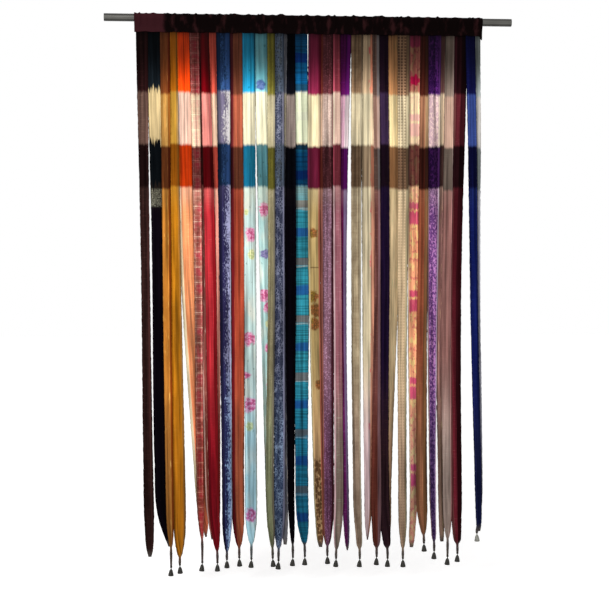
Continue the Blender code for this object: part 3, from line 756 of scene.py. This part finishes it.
def add_object(name, data):
    """A new object in the scene."""
    made = bpy.data.objects.new(name, data)
    bpy.context.scene.collection.objects.link(made)
    return made


def ribbon_rows(node):
    """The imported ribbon's cross rows from top to bottom, as columns: drop, left x and y, right x and y."""
    points = np.array([vertex.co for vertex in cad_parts[node].data.vertices])
    points = points[np.argsort(-points[:, 2])]
    breaks = np.flatnonzero(-np.diff(points[:, 2]) > 3 * MM) + 1
    rows = []
    for group in np.split(points, breaks):
        middle = (group[:, 0].min() + group[:, 0].max()) / 2
        left = group[group[:, 0] < middle]
        right = group[group[:, 0] >= middle]
        rows.append((-group[:, 2].mean(), *left[:, :2].mean(axis=0), *right[:, :2].mean(axis=0)))
    return np.array(rows)


def smooth_through(rows, drops):
    """The rows' columns read at other drops, along smooth curves. The first column is the drop."""
    at, values = rows[:, 0], rows[:, 1:]
    slopes = np.gradient(values, at, axis=0)
    i = np.clip(np.searchsorted(at, drops) - 1, 0, len(at) - 2)
    span = (at[i + 1] - at[i])[:, None]
    t = np.clip((drops - at[i])[:, None] / span, 0.0, 1.0)
    start = (1 + 2 * t) * (1 - t) ** 2 * values[i] + t * (1 - t) ** 2 * span * slopes[i]
    end = t * t * (3 - 2 * t) * values[i + 1] + t * t * (t - 1) * span * slopes[i + 1]
    return start + end


def ease(t):
    """0 up to 0, 1 from 1 on, and smooth between."""
    t = np.clip(t, 0.0, 1.0)
    return t * t * (3 - 2 * t)


def free_room(rows_of, name, x, y, drops):
    """How far the cloth may move at each point before it meets a ribbon in front of it or behind it."""
    room = np.full(x.shape, 2 * FOLD_DEPTH + CLEARANCE)
    for other, rows in rows_of.items():
        if other == name:
            continue
        near = (rows[:, 1].min() - 0.01 < x.max()) and (rows[:, 3].max() + 0.01 > x.min())
        if not near:
            continue
        left_x, left_y, right_x, right_y = (column[:, None] for column in smooth_through(rows, drops).T)
        there = (x > left_x - 4 * MM) & (x < right_x + 4 * MM) & (drops[:, None] < rows[-1, 0])
        share = np.clip((x - left_x) / np.maximum(right_x - left_x, 1e-6), 0, 1)
        apart = np.abs(y - (left_y + share * (right_y - left_y)))
        room = np.where(there, np.minimum(room, apart), room)
    return room


def smooth_rows(values, passes):
    """Values brought down to the mean with their neighbours in the rows and columns, where that is less."""
    for _ in range(passes):
        padded = np.pad(values, 1, mode="edge")
        down = (padded[:-2, 1:-1] + padded[2:, 1:-1]) / 2
        across = (padded[1:-1, :-2] + padded[1:-1, 2:]) / 2
        values = np.minimum(values, (2 * values + down + across) / 4)
    return values


def grid_object(name, points, uv_sets, material, thickness, offset):
    """A cloth from a grid of points, with its cloth coordinates, turned into a thin closed shell."""
    count_rows, count_columns = points.shape[:2]
    index = np.arange(count_rows * count_columns).reshape(count_rows, count_columns)
    quads = np.stack([index[:-1, :-1], index[1:, :-1], index[1:, 1:], index[:-1, 1:]], axis=-1).reshape(-1, 4)
    mesh = bpy.data.meshes.new(name)
    mesh.from_pydata(points.reshape(-1, 3).tolist(), [], quads.tolist())
    loops = quads.reshape(-1)
    for label, values in uv_sets.items():
        layer = mesh.uv_layers.new(name=label)
        layer.data.foreach_set("uv", values.reshape(-1, 2)[loops].astype(np.float32).ravel())
    mesh.materials.append(material)
    mesh.shade_smooth()
    piece = add_object(name, mesh)
    shell = piece.modifiers.new("cloth thickness", "SOLIDIFY")
    shell.thickness = thickness
    shell.offset = offset
    return piece


def make_ribbon(name, seed, rows_of, carries_bell):
    """One ribbon: flat in the hem, folded below it, and rolled into a tail where it carries a bell."""
    rows = rows_of[name]
    random = np.random.default_rng(seed)
    tip = rows[-2, 0] if carries_bell else rows[-1, 0]
    roll_start = tip - TAIL_ROLL_LENGTH
    drops = np.linspace(rows[0, 0], roll_start, int((roll_start - rows[0, 0]) / CLOTH_ROW))
    if carries_bell:
        drops = np.concatenate([drops, np.arange(roll_start + TAIL_ROW, rows[-1, 0], TAIL_ROW), rows[-1:, 0]])
    else:
        drops = np.concatenate([drops, np.arange(roll_start + 3 * TAIL_ROW, tip, 3 * TAIL_ROW), [tip]])
    left_x, left_y, right_x, right_y = (column[:, None] for column in smooth_through(rows, drops).T)
    side = np.linspace(-1, 1, CLOTH_COLUMNS + 1)[None, :]
    share = (side + 1) / 2
    down = drops[:, None]
    half = (right_x - left_x) / 2
    middle_x, middle_y = (left_x + right_x) / 2, (left_y + right_y) / 2
    x = middle_x + side * half
    y = left_y + share * (right_y - left_y)

    loose = ease((down - HEM_DROP) / LOOSE_LENGTH)
    room = free_room(rows_of, name, x, y, drops)
    depth = smooth_rows(np.clip((room - CLEARANCE) / 2, LEAST_FOLD, FOLD_DEPTH), 6)
    phase, wander, lean = random.uniform(0, TURN, 3)
    drift = 1.3 * np.sin(TURN * down / random.uniform(*DRIFT_LENGTHS) + wander)
    wide = np.sin(TURN * side * half / FOLD_WIDTH + phase + drift)
    narrow = np.sin(TURN * side * half / (0.47 * FOLD_WIDTH) + lean - 1.7 * drift)
    waver = 0.55 + 0.45 * np.sin(TURN * down / random.uniform(*WAVER_LENGTHS) + lean)
    curl = EDGE_CURL * side ** 4 * np.sin(TURN * down / CURL_LENGTH + phase + 2 * side)
    fold = depth * (0.72 * wide + 0.28 * waver * narrow) + np.minimum(depth / FOLD_DEPTH, 1.0) * curl
    y = y + fold * (FOLD_IN_HEM + (1 - FOLD_IN_HEM) * loose)
    rim = np.abs(side) > 0.999
    x = x + np.where(rim, EDGE_FRAY * random.standard_normal(x.shape), 0.0) * loose

    if carries_bell:
        roll = ease((down - roll_start) / (TAIL_ROLL_LENGTH + 4 * MM))
        turned = math.pi * (side - 0.5) + TURN * np.clip(down - tip + 6 * MM, 0, None) / TAIL_TWIST
        along_tail = np.clip((down - tip) / (rows[-1, 0] - tip), 0, 1)
        radius = TAIL_TOP_RADIUS + (TAIL_RADIUS - TAIL_TOP_RADIUS) * along_tail
        radius = radius * (1 + 0.15 * np.cos(3 * math.pi * side))
        x = x + roll * (middle_x + radius * np.cos(turned) - x)
        y = y + roll * (middle_y + radius * np.sin(turned) - y)

    all_shares, all_down = np.broadcast_arrays(share, down)
    points = np.stack([x, y, -all_down], axis=-1)
    metres = np.stack([share * 2 * half, all_down], axis=-1)
    shares = np.stack([all_shares, all_down], axis=-1)
    width = float(2 * half.max())
    material = cloth_material(name, CLOTHS[name], seed, width, tip)
    uv_sets = {"metres": metres, "shares": shares}
    piece = grid_object("cloth_" + name, points, uv_sets, material, CLOTH_THICKNESS, 0.0)
    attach(piece, "root")
    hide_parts("ribbon_" + name)


# Profile of a bell: radius and depth below its top as shares of the mouth's radius and the height
BELL_OUTLINE = (
    (0.00, 0.000), (0.14, 0.000), (0.20, 0.020), (0.21, 0.050), (0.17, 0.075), (0.17, 0.120),
    (0.23, 0.150), (0.26, 0.185), (0.38, 0.235), (0.51, 0.290), (0.59, 0.350), (0.655, 0.420),
    (0.715, 0.500), (0.775, 0.580), (0.825, 0.650), (0.850, 0.668), (0.850, 0.690), (0.855, 0.705),
    (0.910, 0.790), (0.955, 0.860), (0.985, 0.905), (1.00, 0.930), (0.995, 0.955), (0.96, 0.980),
    (0.91, 0.996), (0.85, 0.992), (0.80, 0.930), (0.72, 0.790), (0.62, 0.640), (0.55, 0.480),
    (0.44, 0.390), (0.085, 0.375),
)
# Its clapper, on from the bell's last point
CLAPPER_OUTLINE = (
    (0.060, 0.660), (0.120, 0.690), (0.190, 0.725), (0.212, 0.765), (0.190, 0.805), (0.110, 0.830),
    (0.000, 0.834),
)


def turned_mesh(name, outline, sides):
    """A closed turned shape from radius and z pairs that start and end on the axis."""
    shape = bmesh.new()
    rings = []
    for radius, z in outline:
        if radius < 1e-7:
            rings.append([shape.verts.new((0, 0, z))])
            continue
        angles = [TURN * i / sides for i in range(sides)]
        rings.append([shape.verts.new((radius * math.cos(a), radius * math.sin(a), z)) for a in angles])
    for upper, lower in zip(rings, rings[1:]):
        for i in range(sides):
            j = (i + 1) % sides
            if len(upper) == 1:
                shape.faces.new((upper[0], lower[i], lower[j]))
            elif len(lower) == 1:
                shape.faces.new((upper[i], lower[0], upper[j]))
            else:
                shape.faces.new((upper[i], lower[i], lower[j], upper[j]))
    mesh = bpy.data.meshes.new(name)
    shape.to_mesh(mesh)
    shape.free()
    mesh.shade_smooth()
    return mesh


BINDING_TURNS = 7
BINDING_STEPS = 24 * BINDING_TURNS
BINDING_LOW = 0.4 * MM
BINDING_TOP = 6.5 * MM
BINDING_THREAD = 0.45 * MM
BINDING_GAP = 0.5 * MM
# How far a bell hangs askew, in degrees, about X and about Y
BELL_TILTS = (3, 5)


def binding_points(radius, low, high):
    """A thread wound round the tail just above its bell."""
    points = []
    for i in range(BINDING_STEPS + 1):
        t = i / BINDING_STEPS
        angle = TURN * BINDING_TURNS * t
        points.append((radius * math.cos(angle), radius * math.sin(angle), low + (high - low) * t))
    return points


def make_bell(name, seed, metals, thread):
    """A turned bell with its clapper, and the thread that binds it to the tail."""
    low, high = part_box("bell_" + name)
    radius = (high.x - low.x) / 2
    height = high.z - low.z
    outline = [(share * radius, -depth * height) for share, depth in BELL_OUTLINE + CLAPPER_OUTLINE]
    mesh = turned_mesh("turned_bell_" + name, outline, BELL_SIDES)
    bell = add_object("turned_bell_" + name, mesh)
    bell.data.materials.append(metals["pale" if name == "silver" else "dark"])
    bell.location = ((low.x + high.x) / 2, (low.y + high.y) / 2, high.z)
    random = np.random.default_rng(100 + seed)
    tilts = [math.radians(random.uniform(-most, most)) for most in BELL_TILTS]
    bell.rotation_euler = (*tilts, random.uniform(0, TURN))
    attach(bell, "root")
    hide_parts("bell_" + name)

    line = bpy.data.curves.new("binding_" + name, "CURVE")
    line.dimensions = "3D"
    spline = line.splines.new("POLY")
    points = binding_points(TAIL_RADIUS + BINDING_GAP, BINDING_LOW, BINDING_TOP)
    spline.points.add(len(points) - 1)
    for point, place in zip(spline.points, points):
        point.co = (*place, 1)
    line.bevel_depth = BINDING_THREAD
    line.bevel_resolution = 2
    line.use_fill_caps = True
    line.materials.append(thread)
    binding = add_object("binding_" + name, line)
    binding.location = bell.location
    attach(binding, "root")


HEADER_STEP = 2.6 * MM
HEADER_THICKNESS = 0.9 * MM
HEADER_YARN = 1.1 * MM
MAROON_LENGTH = 107 * MM
MAROON_BLUR = 11 * MM
POCKET_GAP = 1.0 * MM
POCKET_START = math.radians(212)
POCKET_STEPS = 20
HEM_HALF_DEPTH = 3.0 * MM
HEM_INSET = 0.4 * MM
HEM_HEIGHT = 16 * MM
HEM_STEPS = 5
GATHER_DEPTHS = (0.6 * MM, 4.8 * MM)
GATHER_MOST = 5.0 * MM
GATHER_WIDTHS = (3 * MM, 9 * MM)
GATHER_SPACINGS = (9 * MM, 42 * MM)
GATHER_SLANT = 9 * MM
GATHER_BEND = 5 * MM
END_FOLD_WIDTH = 15 * MM
END_FOLD_DROP = 13 * MM


def make_header():
    """The rod pocket: gathers run over the rod and down to the stitched hem, where the leaves lie flat."""
    low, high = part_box("header")
    rod_low, rod_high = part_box("rod")
    rod_radius = (rod_high.z - rod_low.z) / 2
    random = np.random.default_rng(7)
    half = (high.x - low.x) / 2
    pocket = rod_radius + POCKET_GAP
    hem_low = low.z + HEM_INSET
    front = [(-HEM_HALF_DEPTH, hem_low + HEM_HEIGHT * i / HEM_STEPS) for i in range(HEM_STEPS + 1)]
    front.append((-HEM_HALF_DEPTH - 1.6 * MM, hem_low + HEM_HEIGHT + 4.5 * MM))
    arc = []
    for i in range(POCKET_STEPS + 1):
        angle = POCKET_START - (2 * POCKET_START - math.pi) * i / POCKET_STEPS
        arc.append((pocket * math.cos(angle), pocket * math.sin(angle)))
    back = [(-y, z) for y, z in reversed(front)]
    profile = np.array(front + arc + back)
    steps = np.linalg.norm(np.diff(profile, axis=0), axis=1)
    length = np.concatenate([[0], np.cumsum(steps)])
    t = length / length[-1]
    normal = np.gradient(profile, axis=0)
    normal = np.stack([-normal[:, 1], normal[:, 0]], axis=1)
    normal /= np.linalg.norm(normal, axis=1)[:, None]

    along = np.linspace(low.x + 0.5 * MM, high.x - 0.5 * MM, int(2 * half / HEADER_STEP))
    gather = np.zeros((len(along), len(profile)))
    centre = -half
    while centre < half:
        depth, spread = random.uniform(*GATHER_DEPTHS), random.uniform(*GATHER_WIDTHS)
        slant = random.uniform(-GATHER_SLANT, GATHER_SLANT)
        bend = random.uniform(-GATHER_BEND, GATHER_BEND)
        path = centre + slant * (t - 0.5) + bend * np.sin(TURN * t)
        gather += depth * np.exp(-((along[:, None] - path[None, :]) / spread) ** 2)
        centre += random.uniform(*GATHER_SPACINGS)
    swell = np.sin(math.pi * np.clip((t - 0.10) / 0.80, 0, 1))
    gather = np.minimum(gather, GATHER_MOST) * (0.10 + 0.90 * swell[None, :] ** 0.7)
    hem_wave = 0.9 * MM * np.sin(TURN * along / 0.043 + 1.5 * np.sin(along * 17))[:, None]
    hem_wave = hem_wave + 0.8 * MM * np.sin(TURN * along / 0.117 + 2.0)[:, None]
    hem_wave = hem_wave - END_FOLD_DROP * ease((along - half + END_FOLD_WIDTH) / END_FOLD_WIDTH)[:, None]
    at_hem = np.clip(1 - np.minimum(t, 1 - t) / 0.16, 0, 1)[None, :]
    points = np.zeros((len(along), len(profile), 3))
    points[:, :, 0] = along[:, None]
    points[:, :, 1] = profile[None, :, 0] + normal[None, :, 0] * gather
    points[:, :, 2] = profile[None, :, 1] + normal[None, :, 1] * gather + hem_wave * at_hem
    metres = np.stack(np.broadcast_arrays(along[:, None] - along[0], length[None, :]), axis=-1)
    material = header_material()
    header = grid_object("gathered_header", points, {"metres": metres}, material, HEADER_THICKNESS, 1.0)
    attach(header, "root")
    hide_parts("header")


def make_camera():
    """The camera, turned by its yaw, pitch and roll."""
    ahead = Vector((math.sin(CAMERA_YAW), math.cos(CAMERA_YAW), 0))
    forward = ahead * math.cos(CAMERA_PITCH) + Vector((0, 0, math.sin(CAMERA_PITCH)))
    level = Vector((math.cos(CAMERA_YAW), -math.sin(CAMERA_YAW), 0))
    upright = level.cross(forward)
    right = level * math.cos(CAMERA_ROLL) + upright * math.sin(CAMERA_ROLL)
    up = upright * math.cos(CAMERA_ROLL) - level * math.sin(CAMERA_ROLL)
    data = bpy.data.cameras.new("camera")
    data.lens = CAMERA_LENS
    data.sensor_width = CAMERA_SENSOR
    camera = add_object("camera", data)
    turn = Matrix((right, up, -forward)).transposed()
    camera.matrix_world = Matrix.Translation(CAMERA_PLACE) @ turn.to_4x4()
    bpy.context.scene.camera = camera


def seen_directly(tree):
    """1 for rays from the camera or off the metal, 0 for the light that falls on the object."""
    path = tree.nodes.new("ShaderNodeLightPath")
    seen = path.outputs["Is Camera Ray"]
    for ray in ("Is Glossy Ray", "Is Transmission Ray"):
        either = tree.nodes.new("ShaderNodeMath")
        either.operation = "MAXIMUM"
        tree.links.new(seen, either.inputs[0])
        tree.links.new(path.outputs[ray], either.inputs[1])
        seen = either.outputs[0]
    return seen


def make_room():
    """A plain pale floor, a white background and soft light."""
    mesh = bpy.data.meshes.new("floor")
    shape = bmesh.new()
    bmesh.ops.create_grid(shape, x_segments=1, y_segments=1, size=FLOOR_SIZE)
    shape.to_mesh(mesh)
    shape.free()
    floor = add_object("floor", mesh)
    floor.location = (0, 0, FLOOR_LEVEL)
    paint = Painter("floor_paint", 0.9)
    paint.shader.inputs["Emission Color"].default_value = (1, 1, 1, 1)
    paint.plug(paint.shader.inputs["Emission Strength"], paint.times(seen_directly(paint.tree), FLOOR_GLOW))
    floor.data.materials.append(paint.finish(FLOOR_COLOUR))

    world = bpy.data.worlds.new("studio")
    world.use_nodes = True
    tree = world.node_tree
    either = tree.nodes.new("ShaderNodeMixShader")
    tree.links.new(seen_directly(tree), either.inputs["Fac"])
    for socket, strength in ((1, WORLD_LIGHT), (2, 1.0)):
        light = tree.nodes.new("ShaderNodeBackground")
        light.inputs["Color"].default_value = (1, 1, 1, 1)
        light.inputs["Strength"].default_value = strength
        tree.links.new(light.outputs["Background"], either.inputs[socket])
    tree.links.new(either.outputs["Shader"], tree.nodes["World Output"].inputs["Surface"])
    bpy.context.scene.world = world

    key = bpy.data.lights.new("key", "AREA")
    key.energy = KEY_LIGHT
    key.size = KEY_SIZE
    lamp = add_object("key", key)
    lamp.location = KEY_PLACE
    lamp.rotation_euler = (Vector(KEY_TARGET) - Vector(KEY_PLACE)).to_track_quat("-Z", "Y").to_euler()
    bpy.context.scene.view_settings.view_transform = "Standard"


def main():
    """The camera, the room, and the looks of the rod, the header, the ribbons and the bells."""
    make_camera()
    make_room()
    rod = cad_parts["rod"]
    rod.data.materials.clear()
    rod.data.materials.append(rod_material())
    make_header()
    rows_of = {name: ribbon_rows("ribbon_" + name) for name in CLOTHS}
    metals = {"dark": metal_material("bell_dark", BELL_METAL, 0.42),
              "pale": metal_material("bell_pale", PALE_BELL_METAL, 0.38)}
    thread = Painter("thread", 0.8).finish(linear(THREAD_COLOUR))
    for seed, name in enumerate(CLOTHS):
        carries_bell = "bell_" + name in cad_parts
        make_ribbon(name, seed, rows_of, carries_bell)
        if carries_bell:
            make_bell(name, seed, metals, thread)


main()
